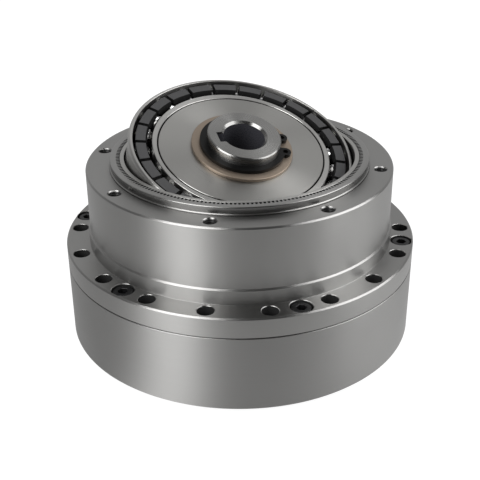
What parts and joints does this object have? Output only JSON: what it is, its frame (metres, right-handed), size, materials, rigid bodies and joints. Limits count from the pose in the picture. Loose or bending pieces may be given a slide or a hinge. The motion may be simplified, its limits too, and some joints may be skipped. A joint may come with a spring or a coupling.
{
  "type": "strain wave gear unit",
  "caption": "Cup-type strain wave reduction gear with flanged housing, crossed roller output bearing and a keyed wave generator lying tilted in its mouth.",
  "frame": {"origin": "centre of the output flange's face, on which the unit stands", "axes": "+Z along the gear's axis, from the output face towards the motor side"},
  "size_m": [0.1208, 0.1208, 0.0787],
  "materials": {
    "spline_steel": "ground and brushed, satin",
    "ring_steel": "turned, satin",
    "screw_black": "black oxide",
    "seal_rubber": "matt",
    "flange_steel": "turned, satin",
    "flexspline_steel": "fine ground",
    "roller_steel": "polished",
    "spacer_resin": "moulded",
    "race_steel": "ground, bright",
    "ball_steel": "polished",
    "cage_resin": "moulded, charcoal",
    "plug_steel": "turned, fine rings",
    "insert_steel": "ground",
    "hub_steel": "turned, bright",
    "washer_bronze": "sintered bronze, matt",
    "snap_steel": "black phosphate"
  },
  "bodies": {
    "housing": {"circular_spline": "spline_steel", "bearing_outer_ring": "ring_steel", "housing_screws": "screw_black", "housing_o_ring": "seal_rubber", "output_oil_seal": "seal_rubber"},
    "output": {"output_flange": "flange_steel", "inner_race_ring": "flange_steel", "inner_ring_screws": "screw_black", "flexspline": "flexspline_steel", "flexspline_clamp_ring": "flange_steel", "flexspline_screws": "screw_black"},
    "rollers": {"crossed_rollers_low": "roller_steel", "crossed_rollers_high": "roller_steel", "roller_spacers": "spacer_resin"},
    "wave_race": {"wave_bearing_outer_race": "race_steel"},
    "wave_balls": {"wave_bearing_balls": "ball_steel", "wave_bearing_cage": "cage_resin"},
    "wave_plug": {"wave_generator_plug": "plug_steel", "wave_bearing_inner_race": "race_steel"},
    "wave_insert": {"oldham_insert": "insert_steel"},
    "wave_hub": {"wave_generator_hub": "hub_steel", "rub_washer": "washer_bronze", "snap_ring": "snap_steel"}
  },
  "joints": [
    {"name": "wave_generator_seat", "type": "hinge", "parent": "housing", "child": "wave_race", "pos_m": [0.01029, -0.01142, 0.058], "axis": [-0.7431, -0.6691, 0], "range_deg": [0, 19.2]},
    {"name": "wave_generator_spin", "type": "hinge", "parent": "wave_race", "child": "wave_plug", "pos_m": [0, 0, 0.0606], "axis": [0.2201, -0.2444, 0.9444], "continuous": true},
    {"name": "wave_ball_orbit", "type": "hinge", "parent": "wave_race", "child": "wave_balls", "pos_m": [0, 0, 0.0606], "axis": [0.2201, -0.2444, 0.9444], "continuous": true},
    {"name": "output_spin", "type": "hinge", "parent": "housing", "child": "output", "pos_m": [0, 0, 0.012], "axis": [0, 0, 1], "continuous": true},
    {"name": "roller_orbit", "type": "hinge", "parent": "housing", "child": "rollers", "pos_m": [0, 0, 0.012], "axis": [0, 0, 1], "continuous": true},
    {"name": "insert_float", "type": "slide", "parent": "wave_plug", "child": "wave_insert", "axis": [0.7431, 0.6691, 0], "range_m": [-0.00035, 0.00035]},
    {"name": "hub_float", "type": "slide", "parent": "wave_insert", "child": "wave_hub", "axis": [-0.6319, 0.7018, 0.3289], "range_m": [-0.00035, 0.00035]}
  ],
  "couplings": [
    {"joint": "output_spin", "follows": "wave_generator_spin", "ratio": -0.01},
    {"joint": "roller_orbit", "follows": "wave_generator_spin", "ratio": -0.00475},
    {"joint": "wave_ball_orbit", "follows": "wave_generator_spin", "ratio": 0.4469}
  ]
}
